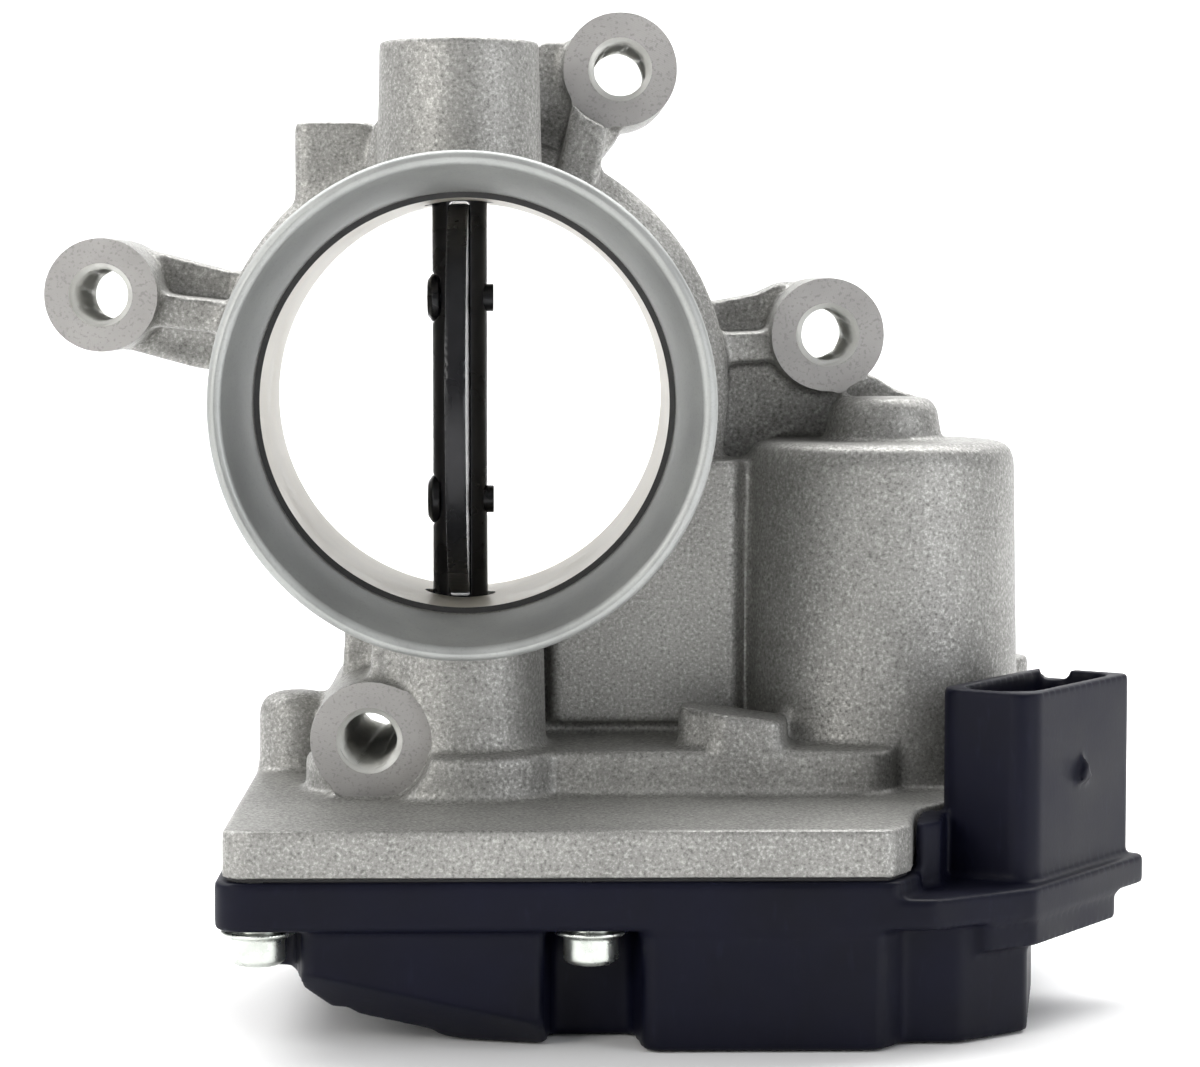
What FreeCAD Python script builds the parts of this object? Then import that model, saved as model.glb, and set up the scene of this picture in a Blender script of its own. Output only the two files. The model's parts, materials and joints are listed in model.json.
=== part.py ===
import FreeCAD, Part
import math
import os

# Electronic throttle body: die-cast aluminium housing with a vertical throttle shaft,
# a DC motor in its own can and a two-stage gear train under a black plastic cover.
# Millimetres. Origin on the bore axis in the rear mounting plane. The bore runs along Y
# and air enters from -Y. +Z is up, towards the throttle shaft's upper boss.

Vector = FreeCAD.Vector
X_AXIS = Vector(1, 0, 0)
Y_AXIS = Vector(0, 1, 0)
Z_AXIS = Vector(0, 0, 1)

# ---- driving dimensions -------------------------------------------------------------
BORE_R = 25.0
INLET_Y = -70.0
INLET_R = 30.3
LIP_BORE_R = 28.4
THROAT_Y = -57.0
OUTLET_R = 27.5
OUTLET_LENGTH = 12.0
CAST_BORE_Y = -24.0
BARREL_R = 34.0
BARREL_Y = -25.0
NECK_R = 28.6

SHAFT_X, SHAFT_Y = -1.0, -38.0
SHAFT_R = 3.5
SHAFT_TOP = 40.5
SHAFT_BOTTOM = -66.0
PLATE_R = 24.7
PLATE_THICKNESS = 2.5
PLATE_SCREW_Z = 12.8
RUNNING = 0.04
SLIP = 0.02

LUG_R = 7.5
THREAD_R = 3.4
LUG_CHAMFER = 0.8
LUGS = {
    "left": (-48.3, 13.1, -24.0),
    "top": (19.7, 42.5, -24.0),
    "right": (47.0, 7.9, -24.0),
    "bottom": (-12.3, -42.7, -47.0),
}

UPPER_BOSS_TOP = 45.1
FLANGE_TOP = -49.9
JOINT_Z = -55.8
ROOF_Z = -52.5
PLATFORM_TOP = -44.2
PLATFORM_ROOF = -47.5
FLANGE_WALL = 4.5
RIM_BOTTOM = -62.0
LEDGE_Z = -58.2
FOOT_Z = -65.6
COLLAR_TOP = -50.3
GASKET = 0.3
COVER_BOTTOM = -76.4
COVER_WALL = 2.2

MOTOR_X, MOTOR_Y = 54.0, -23.5
CAN_TOP = -5.9
CAN_TOP_R = 17.6
CAN_FOOT_R = 18.5
NUB_TOP = -0.3
MOTOR_R = 13.7
MOTOR_TOP = -9.0
MOTOR_FOOT = -52.6

SECTOR_TEETH, SMALL_TEETH, STAGE_TWO_MODULE = 50, 14, 1.0
LARGE_TEETH, PINION_TEETH, STAGE_ONE_MODULE = 55, 14, 0.8
PRESSURE_ANGLE = math.radians(22.5)
TOOTH_THINNING = 0.09
THROTTLE_TRAVEL = 88.0
SECTOR_Z = (-66.0, -59.5)
LARGE_GEAR_Z = (-58.2, -54.6)
AXLE_R = 2.0

COVER_SCREWS = [(-24.6, -70.0), (15.2, -70.0), (46.5, -67.8),
                (70.6, -10.0), (24.0, -9.5), (-23.2, -18.5)]
SCREW_BOSS_R = 4.6
SCREW_HOLE_TOP = -51.4

SHROUD_ANGLE = 55.5
SHROUD_CENTRE = (71.2, -48.8)
SHROUD_LENGTH, SHROUD_WIDTH = 28.4, 13.0
SHROUD_TOP = -35.0
SHROUD_WALL = 1.7
SOCKET_FLOOR = -55.0
PIN_PITCH = 3.6
BOARD_Z = -69.9
BOARD_POSTS = [(0.0, -28.0), (12.0, -52.0)]


# ---- basic shapes -------------------------------------------------------------------
def rod(radius, start, end):
    """Round bar between two points."""
    along = Vector(*end) - Vector(*start)
    return Part.makeCylinder(radius, along.Length, Vector(*start), along)


def ring(outer, inner, start, end):
    """Tube between two points."""
    return rod(outer, start, end).cut(rod(inner, start, end))


def block(x, y, z):
    """Box from three (low, high) spans."""
    size = (x[1] - x[0], y[1] - y[0], z[1] - z[0])
    return Part.makeBox(*size, Vector(x[0], y[0], z[0]))


def outline(corners, place):
    """Closed wire through (u, v, radius) corners; place turns (u, v) into a point."""
    edges = []
    count = len(corners)
    marks = []
    for i, (u, v, radius) in enumerate(corners):
        here = place(u, v)
        before = place(*corners[i - 1][:2]) - here
        after = place(*corners[(i + 1) % count][:2]) - here
        half = before.getAngle(after) / 2
        if radius <= 0:
            marks.append((here, here, here))
            continue
        reach = radius / math.tan(half)
        before.normalize()
        after.normalize()
        middle = before + after
        middle.normalize()
        crown = here + middle * (radius / math.sin(half) - radius)
        marks.append((here + before * reach, crown, here + after * reach))
    for i, (start, crown, end) in enumerate(marks):
        if (start - end).Length > 1e-6:
            edges.append(Part.Arc(start, crown, end).toShape())
        following = marks[(i + 1) % count][0]
        if (end - following).Length > 1e-6:
            edges.append(Part.LineSegment(end, following).toShape())
    return Part.Wire(edges)


def prism(corners, low, high, grow=0.0):
    """Upright prism on rounded (x, y, radius) corners, its outline offset by grow."""
    face = Part.Face(outline(corners, lambda u, v: Vector(u, v, low)))
    if grow:
        face = face.makeOffset2D(grow)
    return face.extrude(Vector(0, 0, high - low))


def slab(corners, front, back):
    """Prism along Y on rounded (x, z, radius) corners."""
    face = Part.Face(outline(corners, lambda u, v: Vector(u, front, v)))
    return face.extrude(Vector(0, back - front, 0))


def turned(profile, base, axis):
    """Solid of revolution from (radius, height) points about an axis through base."""
    side = X_AXIS if abs(axis.x) < 0.5 else Z_AXIS
    points = [Vector(*base) + side * r + axis * h for r, h in profile]
    face = Part.Face(Part.makePolygon(points + points[:1]))
    return face.revolve(Vector(*base), axis, 360)


def joined(shapes):
    """One solid from overlapping shapes."""
    return shapes[0].multiFuse(shapes[1:]).removeSplitter()


def welded(shapes):
    """One solid from overlapping shapes, with every seam between their faces kept."""
    return shapes[0].multiFuse(shapes[1:])


def group(shapes):
    """Separate solids kept together in one node."""
    return Part.makeCompound(shapes)


# ---- gears --------------------------------------------------------------------------
def involute(angle):
    return math.tan(angle) - angle


def tooth_half_angle(teeth, module, radius):
    """Half the angle that a tooth fills at this radius."""
    pitch_r = teeth * module / 2
    base_r = pitch_r * math.cos(PRESSURE_ANGLE)
    at_pitch = math.pi / (2 * teeth) - TOOTH_THINNING / pitch_r
    here = math.acos(min(1.0, base_r / radius))
    return at_pitch + involute(PRESSURE_ANGLE) - involute(here)


def gear_points(teeth, module, phase):
    """Corners of an involute gear with a tooth centred on phase, in radians."""
    pitch_r = teeth * module / 2
    root_r = pitch_r - 1.2 * module
    tip_r = pitch_r + 0.92 * module
    flank_r = max(root_r + 0.05, pitch_r * math.cos(PRESSURE_ANGLE))
    steps = 4
    radii = [flank_r + (tip_r - flank_r) * i / steps for i in range(steps + 1)]
    points = []
    for tooth in range(teeth):
        centre = phase + 2 * math.pi * tooth / teeth
        foot = tooth_half_angle(teeth, module, flank_r)
        rising = [(root_r, -foot)] + [(r, -tooth_half_angle(teeth, module, r)) for r in radii]
        falling = [(r, -turn) for r, turn in reversed(rising)]
        for r, turn in rising + falling:
            points.append((r * math.cos(centre + turn), r * math.sin(centre + turn)))
    return points


def gear(teeth, module, phase, centre, z_span):
    """Full gear blank with teeth and no hole."""
    points = [Vector(centre[0] + x, centre[1] + y, z_span[0])
              for x, y in gear_points(teeth, module, phase)]
    face = Part.Face(Part.makePolygon(points + points[:1]))
    return face.extrude(Vector(0, 0, z_span[1] - z_span[0]))


def idler_place():
    """Idler axis: where the pitch circles touch the throttle's and the motor's."""
    to_shaft = (SECTOR_TEETH + SMALL_TEETH) * STAGE_TWO_MODULE / 2
    to_motor = (LARGE_TEETH + PINION_TEETH) * STAGE_ONE_MODULE / 2
    dx, dy = MOTOR_X - SHAFT_X, MOTOR_Y - SHAFT_Y
    span = math.hypot(dx, dy)
    along = (to_shaft ** 2 - to_motor ** 2 + span ** 2) / (2 * span)
    aside = math.sqrt(to_shaft ** 2 - along ** 2)
    ux, uy = dx / span, dy / span
    return SHAFT_X + along * ux + aside * uy, SHAFT_Y + along * uy - aside * ux


IDLER_X, IDLER_Y = idler_place()
SHAFT_TO_IDLER = math.atan2(IDLER_Y - SHAFT_Y, IDLER_X - SHAFT_X)
IDLER_TO_MOTOR = math.atan2(MOTOR_Y - IDLER_Y, MOTOR_X - IDLER_X)

# ---- plan outlines (x, y, corner radius) ---------------------------------------------
FLANGE = [(-28.7, -74.0, 3.0), (50.8, -74.0, 1.2), (53.6, -69.4, 1.5),
          (55.5, -57.0, 3.0), (75.5, -28.0, 6.0), (75.5, -4.5, 5.5),
          (-10.0, -4.5, 6.0), (-28.7, -13.5, 4.8)]
RIM = [(-29.6, -74.6, 3.5), (56.0, -74.6, 3.0), (69.0, -66.4, 2.5),
       (86.9, -40.4, 1.5), (76.1, -33.0, 1.0), (76.1, -4.0, 5.5),
       (-10.0, -4.0, 6.0), (-29.6, -13.5, 4.8)]
LOWER = [(-27.0, -64.5, 2.0), (-20.4, -64.5, 2.0), (-19.2, -73.0, 2.0),
         (9.4, -73.0, 1.5), (10.4, -64.6, 1.5), (20.2, -64.6, 1.5),
         (21.4, -74.3, 2.0), (49.6, -74.3, 2.0), (52.8, -70.2, 1.0),
         (59.4, -70.2, 1.5), (68.4, -63.6, 2.0), (69.6, -56.0, 3.0),
         (72.5, -38.0, 4.0), (72.5, -17.0, 4.0), (64.5, -7.0, 3.0),
         (30.5, -7.0, 2.0), (29.5, -15.6, 2.0), (18.5, -15.6, 2.0),
         (17.5, -7.0, 2.0), (-8.0, -7.0, 4.0), (-16.0, -24.0, 4.0),
         (-27.0, -25.0, 3.0)]
FOOT = [(58.0, -72.6, 2.0), (69.2, -65.4, 2.0), (82.4, -46.0, 2.0), (74.0, -36.0, 2.0)]
COLLAR = [(54.0, -67.8, 0.8), (57.6, -65.0, 1.0), (59.2, -57.0, 0.5), (56.6, -54.0, 0.5)]
# Lower left of the cover: its stepped underside (x, z) and the slanted face in front.
UNDERSIDE = [(-40.0, -67.4), (-20.8, -67.8), (-16.0, -72.1), (-13.9, -72.2),
             (-12.8, -73.1), (-4.4, -74.9), (-2.5, -76.0), (2.5, -76.6)]
BEVEL_AT = (-12.0, -73.0, -68.6)
BEVEL_SLOPE = (-0.22, -0.85)


# ---- housing ------------------------------------------------------------------------
def throttle_tube():
    """Outside of the air passage: inlet spigot, neck and rear barrel."""
    profile = [(0, 0), (BARREL_R, 0), (BARREL_R, BARREL_Y), (NECK_R + 2.2, BARREL_Y - 3.0),
               (NECK_R + 0.6, -50.0), (INLET_R - 0.6, -56.0), (INLET_R, -58.0),
               (INLET_R, INLET_Y + 1.2), (INLET_R - 1.1, INLET_Y), (0, INLET_Y)]
    return turned(profile, (0, 0, 0), Y_AXIS)


def air_passage():
    """Everything cut away for the air: funnel, bore, cast widening and outlet."""
    step = 0.35
    profile = [(0, 1), (OUTLET_R, 1), (OUTLET_R, -OUTLET_LENGTH),
               (BORE_R + 0.8, CAST_BORE_Y + 1), (BORE_R, CAST_BORE_Y),
               (BORE_R, THROAT_Y + 0.6), (BORE_R + step, THROAT_Y),
               (BORE_R + 0.7, THROAT_Y - 3.0), (BORE_R + 1.6, THROAT_Y - 7.0),
               (LIP_BORE_R - 0.9, INLET_Y + 2.2), (LIP_BORE_R, INLET_Y + 0.9),
               (LIP_BORE_R + 0.8, INLET_Y), (LIP_BORE_R + 0.8, INLET_Y - 1),
               (0, INLET_Y - 1)]
    return turned(profile, (0, 0, 0), Y_AXIS)


def shaft_bosses():
    """Upper and lower throttle shaft bosses with the cast block and webs beside them."""
    upper = turned([(0, 20), (10.7, 20), (10.1, UPPER_BOSS_TOP), (0, UPPER_BOSS_TOP)],
                   (SHAFT_X, SHAFT_Y, 0), Z_AXIS)
    lower = turned([(0, -20), (10.4, -20), (11.0, -48), (0, -48)], (SHAFT_X, SHAFT_Y, 0), Z_AXIS)
    cast_block = prism([(-22.8, -26.0, 1.5), (-12.6, -26.0, 1.0), (-12.6, -6.0, 1.5),
                        (-22.8, -6.0, 1.5)], 20.0, 35.6)
    web = slab([(-14.0, 22.0, 0), (8.0, 22.0, 0), (8.0, 40.0, 0), (-12.0, 35.4, 2.0)],
               -36.0, -12.0)
    low_web = block((-8.0, 12.0), (-27.0, -14.0), (PLATFORM_TOP - 2, -25.0))
    return [upper, lower, cast_block, web, low_web]


def lugs():
    """Four fastening lugs, each with the arm or ribs that carry it."""
    shapes = [rod(LUG_R, (x, y_front, z), (x, 0, z)) for x, z, y_front in LUGS.values()]
    left_x, left_z, _ = LUGS["left"]
    shapes.append(slab([(left_x, left_z - 6.8, 0), (-37.0, 3.2, 0), (-28.0, 2.0, 0),
                        (-28.0, 16.3, 0), (-33.0, 16.4, 0), (-41.0, 18.5, 0),
                        (left_x, left_z + 7.1, 0)], -12.0, -1.5))
    shapes.append(slab([(left_x, left_z - 3.4, 0), (-26.0, 7.2, 0), (-26.0, 11.6, 0),
                        (left_x, left_z + 1.0, 0)], -21.5, -10.0))
    right_x, right_z, _ = LUGS["right"]
    shapes.append(slab([(right_x, right_z - 6.0, 0), (31.0, -4.0, 0), (28.0, 12.0, 0),
                        (33.0, 12.3, 0), (38.4, 13.3, 0), (41.8, 14.9, 0),
                        (right_x, right_z + 6.8, 0)], -12.0, -1.5))
    shapes.append(slab([(right_x, right_z - 3.2, 0), (28.0, 3.6, 0), (28.0, 7.8, 0),
                        (right_x, right_z + 0.8, 0)], -21.5, -10.0))
    shapes.append(slab([(28.0, 5.0, 0), (44.0, 3.4, 0), (54.2, 2.2, 1.0), (57.0, 0.4, 1.0),
                        (62.0, -1.2, 0), (62.0, -14.0, 0), (28.0, -14.0, 0)], -14.0, -1.5))
    top_x, top_z, _ = LUGS["top"]
    shapes.append(slab([(1.0, 30.0, 0), (2.0, 45.0, 0), (8.6, 45.0, 0), (9.4, 46.2, 0),
                        (top_x - 4.0, top_z + 3.8, 0), (top_x, 34.0, 0), (14.0, 27.0, 0)],
                       -22.0, -1.5))
    shapes.append(slab([(top_x - 6.0, top_z - 3.6, 0), (11.0, 27.0, 0), (16.6, 27.0, 0),
                        (top_x - 1.2, top_z - 4.6, 0)], -32.0, -1.5))
    low_x, low_z, _ = LUGS["bottom"]
    shapes.append(slab([(low_x - 0.3, low_z + 3, 0), (low_x + 3.6, low_z + 3, 0),
                        (low_x + 4.4, -26.0, 0), (low_x + 0.6, -26.0, 0)], -45.0, -12.0))
    shapes.append(slab([(low_x + 4.9, low_z + 3, 0), (low_x + 6.0, low_z + 3, 0),
                        (low_x + 6.8, -26.0, 0), (low_x + 5.6, -26.0, 0)], -41.0, -12.0))
    shapes.append(slab([(low_x - 4.6, low_z + 2, 0), (low_x + 8.0, low_z + 2, 0),
                        (low_x + 8.6, -26.0, 0), (low_x - 3.8, -26.0, 0)], -30.0, -1.5))
    return shapes


def axle_boss():
    """Cast lump over the top of the idler axle, its top falling towards the motor."""
    plan = prism([(26.4, -42.5, 2.5), (32.0, -46.6, 2.0), (40.2, -46.0, 2.5),
                  (41.0, -36.0, 2.5), (28.0, -34.0, 2.5)], PLATFORM_TOP - 2, PLATFORM_TOP + 8)
    side = slab([(20.0, PLATFORM_TOP - 2, 0), (46.0, PLATFORM_TOP - 2, 0),
                 (46.0, -41.4, 0), (20.0, -38.0, 0)], -50.0, -30.0)
    return plan.common(side)


def gearbox_top():
    """Flange over the gears, the raised platform and the lumps cast on them."""
    flange = prism(FLANGE, JOINT_Z, FLANGE_TOP)
    platform = prism([(-9.0, -46.4, 2.0), (53.6, -46.4, 4.5), (60.0, -8.0, 4.0),
                      (-9.0, -8.0, 4.0)], JOINT_Z, PLATFORM_TOP)
    spring_dome = rod(14.4, (SHAFT_X, SHAFT_Y, JOINT_Z), (SHAFT_X, SHAFT_Y, PLATFORM_TOP))
    low_x = LUGS["bottom"][0]
    lug_foot = rod(8.6, (low_x, -37.2, FLANGE_TOP - 2), (low_x, -37.2, PLATFORM_TOP - 1.2))
    panel = prism([(10.2, -30.0, 1.0), (34.6, -30.0, 1.0), (40.0, -18.0, 0),
                   (10.2, -18.0, 0)], -42.5, -8.4)
    under_panel = prism([(6.0, -28.4, 0), (36.0, -28.4, 0), (36.0, -18.0, 0),
                         (6.0, -18.0, 0)], PLATFORM_TOP - 2, -42.0)
    left_boss = turned([(0, FLANGE_TOP - 2), (5.3, FLANGE_TOP - 2), (5.2, -42.0), (4.4, -40.4),
                        (2.6, -39.6), (0, -39.6)], (-23.2, -18.5, 0), Z_AXIS)
    bosses = [left_boss,
              rod(5.0, (70.6, -10.0, FLANGE_TOP - 2), (70.6, -10.0, -35.8)),
              rod(5.0, (24.0, -9.5, FLANGE_TOP - 2), (24.0, -9.5, -43.0))]
    return [flange, platform, spring_dome, lug_foot, axle_boss(), panel, under_panel] + bosses


def motor_can():
    """Cast can around the motor, with its nub, its foot and the web that ties it in."""
    edge = 2.4
    profile = [(0, JOINT_Z), (CAN_FOOT_R, JOINT_Z), (CAN_TOP_R, CAN_TOP - edge),
               (CAN_TOP_R - 0.7, CAN_TOP - 0.7), (CAN_TOP_R - edge, CAN_TOP), (0, CAN_TOP)]
    can = turned(profile, (MOTOR_X, MOTOR_Y, 0), Z_AXIS)
    nub = turned([(0, -8), (8.2, -8), (7.7, CAN_TOP + 0.6), (7.1, NUB_TOP - 1.4),
                  (5.9, NUB_TOP), (0, NUB_TOP)], (MOTOR_X + 0.4, MOTOR_Y, 0), Z_AXIS)
    web = block((30.0, 44.0), (-20.0, -6.0), (-46.0, -10.0))
    return [can, nub, web]


def housing_cavities():
    """Gear space, motor space, shaft bores and every drilled or tapped hole."""
    gear_space = prism(FLANGE, JOINT_Z - 1, ROOF_Z, -FLANGE_WALL)
    for x, y in COVER_SCREWS:
        gear_space = gear_space.cut(rod(SCREW_BOSS_R, (x, y, JOINT_Z - 1), (x, y, ROOF_Z)))
    spring_space = rod(8.6, (SHAFT_X, SHAFT_Y, JOINT_Z), (SHAFT_X, SHAFT_Y, PLATFORM_ROOF))
    motor_space = rod(MOTOR_R + 0.15, (MOTOR_X, MOTOR_Y, JOINT_Z - 1),
                      (MOTOR_X, MOTOR_Y, MOTOR_TOP + 1.0))
    tail_space = rod(4.6, (MOTOR_X, MOTOR_Y, MOTOR_TOP), (MOTOR_X, MOTOR_Y, MOTOR_TOP + 4.2))
    shaft_bore = rod(SHAFT_R + 0.1, (SHAFT_X, SHAFT_Y, JOINT_Z), (SHAFT_X, SHAFT_Y, 45.0))
    upper_seat = rod(8.0 + SLIP, (SHAFT_X, SHAFT_Y, 28.4), (SHAFT_X, SHAFT_Y, 47.0))
    lower_seat = rod(8.0 + SLIP, (SHAFT_X, SHAFT_Y, JOINT_Z), (SHAFT_X, SHAFT_Y, -28.4))
    axle_hole = rod(AXLE_R + SLIP, (IDLER_X, IDLER_Y, JOINT_Z), (IDLER_X, IDLER_Y, -41.0))
    seal_groove = ring(32.3, 29.5, (0, -2.0, 0), (0, 1.0, 0))
    cuts = [gear_space, spring_space, motor_space, tail_space, shaft_bore, upper_seat,
            lower_seat, axle_hole, seal_groove]
    for x, y in COVER_SCREWS:
        cuts.append(rod(2.0 + SLIP, (x, y, JOINT_Z - 1), (x, y, SCREW_HOLE_TOP)))
    for x, y in motor_screw_places():
        cuts.append(rod(1.25 + SLIP, (x, y, ROOF_Z - 1), (x, y, -46.0)))
    for x, z, y_front in LUGS.values():
        cuts.append(rod(THREAD_R, (x, y_front - 1, z), (x, 1, z)))
        for y, way in ((y_front, 1), (0.0, -1)):
            cone = [(0, -0.5 * way), (THREAD_R + LUG_CHAMFER, -0.5 * way),
                    (THREAD_R + LUG_CHAMFER, 0), (THREAD_R, LUG_CHAMFER * way),
                    (0, LUG_CHAMFER * way)]
            cuts.append(turned(cone, (x, y, z), Y_AXIS))
    return cuts


def lug_face_clearance():
    """Free space in front of each lug's round face, above the flange."""
    reach = LUG_R + 0.4
    above_flange = block((-80, 100), (-80, 0), (FLANGE_TOP, 60))
    return [rod(reach, (x, y_front - 20, z), (x, y_front, z)).common(above_flange)
            for x, z, y_front in LUGS.values()]


def housing():
    solid = welded([throttle_tube()] + shaft_bosses() + lugs() + gearbox_top() + motor_can())
    for shape in lug_face_clearance():
        solid = solid.cut(shape)
    behind_face = block((-80, 100), (0, 20), (-80, 60))
    for shape in [behind_face, air_passage()] + housing_cavities():
        solid = solid.cut(shape)
    return solid


# ---- throttle: everything that turns with the shaft ----------------------------------
def plate_screw_axes():
    return (PLATE_SCREW_Z, -PLATE_SCREW_Z)


def throttle_shaft():
    """Slotted round shaft with a spot face for each plate screw."""
    shaft = rod(SHAFT_R, (SHAFT_X, SHAFT_Y, SHAFT_BOTTOM), (SHAFT_X, SHAFT_Y, SHAFT_TOP))
    half = PLATE_THICKNESS / 2 + SLIP
    slot = block((SHAFT_X - half, SHAFT_X + half), (SHAFT_Y - 6, SHAFT_Y + 6),
                 (-BORE_R + 0.05, BORE_R - 0.05))
    shaft = shaft.cut(slot)
    for z in plate_screw_axes():
        shaft = shaft.cut(rod(1.75 + SLIP, (SHAFT_X - 5, SHAFT_Y, z), (SHAFT_X + 5, SHAFT_Y, z)))
        shaft = shaft.cut(rod(3.15, (SHAFT_X - 6, SHAFT_Y, z), (SHAFT_X - 2.5, SHAFT_Y, z)))
    return shaft


def throttle_plate():
    """Round butterfly plate, lying along the air flow when open.

    Its centre is off the shaft axis by as much as the shaft is off the bore axis, so that
    it closes centred on the bore.
    """
    half = PLATE_THICKNESS / 2
    centre_y = SHAFT_Y + SHAFT_X
    plate = rod(PLATE_R, (SHAFT_X - half, centre_y, 0), (SHAFT_X + half, centre_y, 0))
    for z in plate_screw_axes():
        plate = plate.cut(rod(1.75 + SLIP, (SHAFT_X - 5, SHAFT_Y, z), (SHAFT_X + 5, SHAFT_Y, z)))
    return plate


def plate_screws():
    """Two pan-head screws through shaft and plate, each with a cross recess."""
    screws = []
    for z in plate_screw_axes():
        at = (SHAFT_X, SHAFT_Y, z)
        head = turned([(0, -4.1), (2.2, -4.1), (3.05, -3.5), (3.05, -2.5), (0, -2.5)],
                      at, X_AXIS)
        shank = rod(1.75, (SHAFT_X - 2.55, SHAFT_Y, z), (SHAFT_X + 4.3, SHAFT_Y, z))
        recess = (SHAFT_X - 5, SHAFT_X - 3.3)
        cross = [block(recess, (SHAFT_Y - 1.5, SHAFT_Y + 1.5), (z - 0.3, z + 0.3)),
                 block(recess, (SHAFT_Y - 0.3, SHAFT_Y + 0.3), (z - 1.5, z + 1.5))]
        screws.append(joined([head, shank]).cut(cross[0]).cut(cross[1]))
    return group(screws)


def sector_gear():
    """Moulded toothed sector with its hub, on the lower end of the shaft."""
    tip_r = SECTOR_TEETH * STAGE_TWO_MODULE / 2 + 2
    full = gear(SECTOR_TEETH, STAGE_TWO_MODULE, SHAFT_TO_IDLER, (SHAFT_X, SHAFT_Y), SECTOR_Z)
    pitch = 360 / SECTOR_TEETH
    last = math.degrees(SHAFT_TO_IDLER) + 1.5 * pitch
    first = math.degrees(SHAFT_TO_IDLER) - THROTTLE_TRAVEL - 1.5 * pitch
    wedge = Part.makeCylinder(tip_r, SECTOR_Z[1] - SECTOR_Z[0],
                              Vector(SHAFT_X, SHAFT_Y, SECTOR_Z[0]), Z_AXIS, last - first)
    wedge.rotate(Vector(SHAFT_X, SHAFT_Y, 0), Z_AXIS, first)
    toothed = full.common(wedge)
    pocket = ring(19.5, 12.0, (SHAFT_X, SHAFT_Y, SECTOR_Z[0]), (SHAFT_X, SHAFT_Y, SECTOR_Z[0] + 4.5))
    hub = rod(9.0, (SHAFT_X, SHAFT_Y, SECTOR_Z[0] - 2.2), (SHAFT_X, SHAFT_Y, SECTOR_Z[1] + 0.9))
    solid = joined([toothed.cut(pocket), hub])
    solid = solid.cut(rod(SHAFT_R + SLIP, (SHAFT_X, SHAFT_Y, SECTOR_Z[0]), (SHAFT_X, SHAFT_Y, -50)))
    seat = rod(6.0 + SLIP, (SHAFT_X, SHAFT_Y, SECTOR_Z[0] - 3), (SHAFT_X, SHAFT_Y, SECTOR_Z[0]))
    return solid.cut(seat)


def sensor_magnet():
    return ring(6.0, 2.0, (SHAFT_X, SHAFT_Y, SECTOR_Z[0] - 2.4), (SHAFT_X, SHAFT_Y, SECTOR_Z[0] - 0.05))


def inner_races():
    """Inner rings of both shaft bearings."""
    spans = ((33.0, 38.0), (-41.0, -36.0))
    return group([ring(5.1, SHAFT_R + SLIP, (SHAFT_X, SHAFT_Y, low), (SHAFT_X, SHAFT_Y, high))
                  for low, high in spans])


# ---- bearings, seals and spring ------------------------------------------------------
def outer_races():
    spans = ((33.0, 38.0), (-41.0, -36.0))
    return group([ring(8.0, 6.9, (SHAFT_X, SHAFT_Y, low), (SHAFT_X, SHAFT_Y, high))
                  for low, high in spans])


def bearing_balls():
    balls = []
    count = 9
    for z in (35.5, -38.5):
        for i in range(count):
            turn = 2 * math.pi * i / count
            at = Vector(SHAFT_X + 6.0 * math.cos(turn), SHAFT_Y + 6.0 * math.sin(turn), z)
            balls.append(Part.makeSphere(0.86, at))
    return group(balls)


def shaft_seals():
    """Lip seals between the bore and the bearings."""
    seals = []
    for way in (1, -1):
        body = [(SHAFT_R + 0.8, 28.6 * way), (8.0, 28.6 * way), (8.0, 32.4 * way),
                (6.6, 32.4 * way), (6.6, 29.8 * way), (SHAFT_R + RUNNING, 31.6 * way),
                (SHAFT_R + RUNNING, 31.0 * way)]
        seals.append(turned(body, (SHAFT_X, SHAFT_Y, 0), Z_AXIS))
    return group(seals)


def boss_plug():
    """Pressed cup that closes the upper shaft bore."""
    profile = [(0, 41.7), (7.0, 41.7), (8.0, 42.7), (8.0, 44.7), (7.2, 44.7),
               (7.2, 43.0), (0, 42.6)]
    return turned(profile, (SHAFT_X, SHAFT_Y, 0), Z_AXIS)


def return_spring():
    """Torsion spring around the lower shaft boss."""
    wire_r, coil_r, pitch, turns = 0.5, 7.2, 1.3, 6
    low = -56.6
    helix = Part.makeHelix(pitch, pitch * turns, coil_r)
    section = Part.Wire(Part.makeCircle(wire_r, Vector(coil_r, 0, 0), Y_AXIS))
    coil = Part.Wire(helix.Edges).makePipeShell([section], True, True)
    coil.translate(Vector(SHAFT_X, SHAFT_Y, low))
    return coil


def rear_seal():
    """Face seal ring in the groove of the rear mounting face."""
    return Part.makeTorus(30.9, 1.15, Vector(0, -0.84, 0), Y_AXIS)


# ---- gear train ---------------------------------------------------------------------
def idler_gear():
    """Double gear: large wheel driven by the motor, small pinion driving the sector."""
    at = (IDLER_X, IDLER_Y)
    large_phase = IDLER_TO_MOTOR
    small_phase = SHAFT_TO_IDLER + math.pi + math.pi / SMALL_TEETH
    large = gear(LARGE_TEETH, STAGE_ONE_MODULE, large_phase, at, LARGE_GEAR_Z)
    for z_low, z_high in ((-58.3, -57.4), (-55.4, -54.5)):
        large = large.cut(ring(18.5, 8.8, (*at, z_low), (*at, z_high)))
    small = gear(SMALL_TEETH, STAGE_TWO_MODULE, small_phase, at, (-66.4, LARGE_GEAR_Z[0]))
    hub = rod(4.5, (*at, LARGE_GEAR_Z[1]), (*at, LARGE_GEAR_Z[1] + 1.2))
    solid = joined([large, small, hub])
    return solid.cut(rod(AXLE_R + RUNNING, (*at, -70), (*at, -50)))


def idler_axle():
    return rod(AXLE_R, (IDLER_X, IDLER_Y, -72.6), (IDLER_X, IDLER_Y, -41.4))


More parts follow.
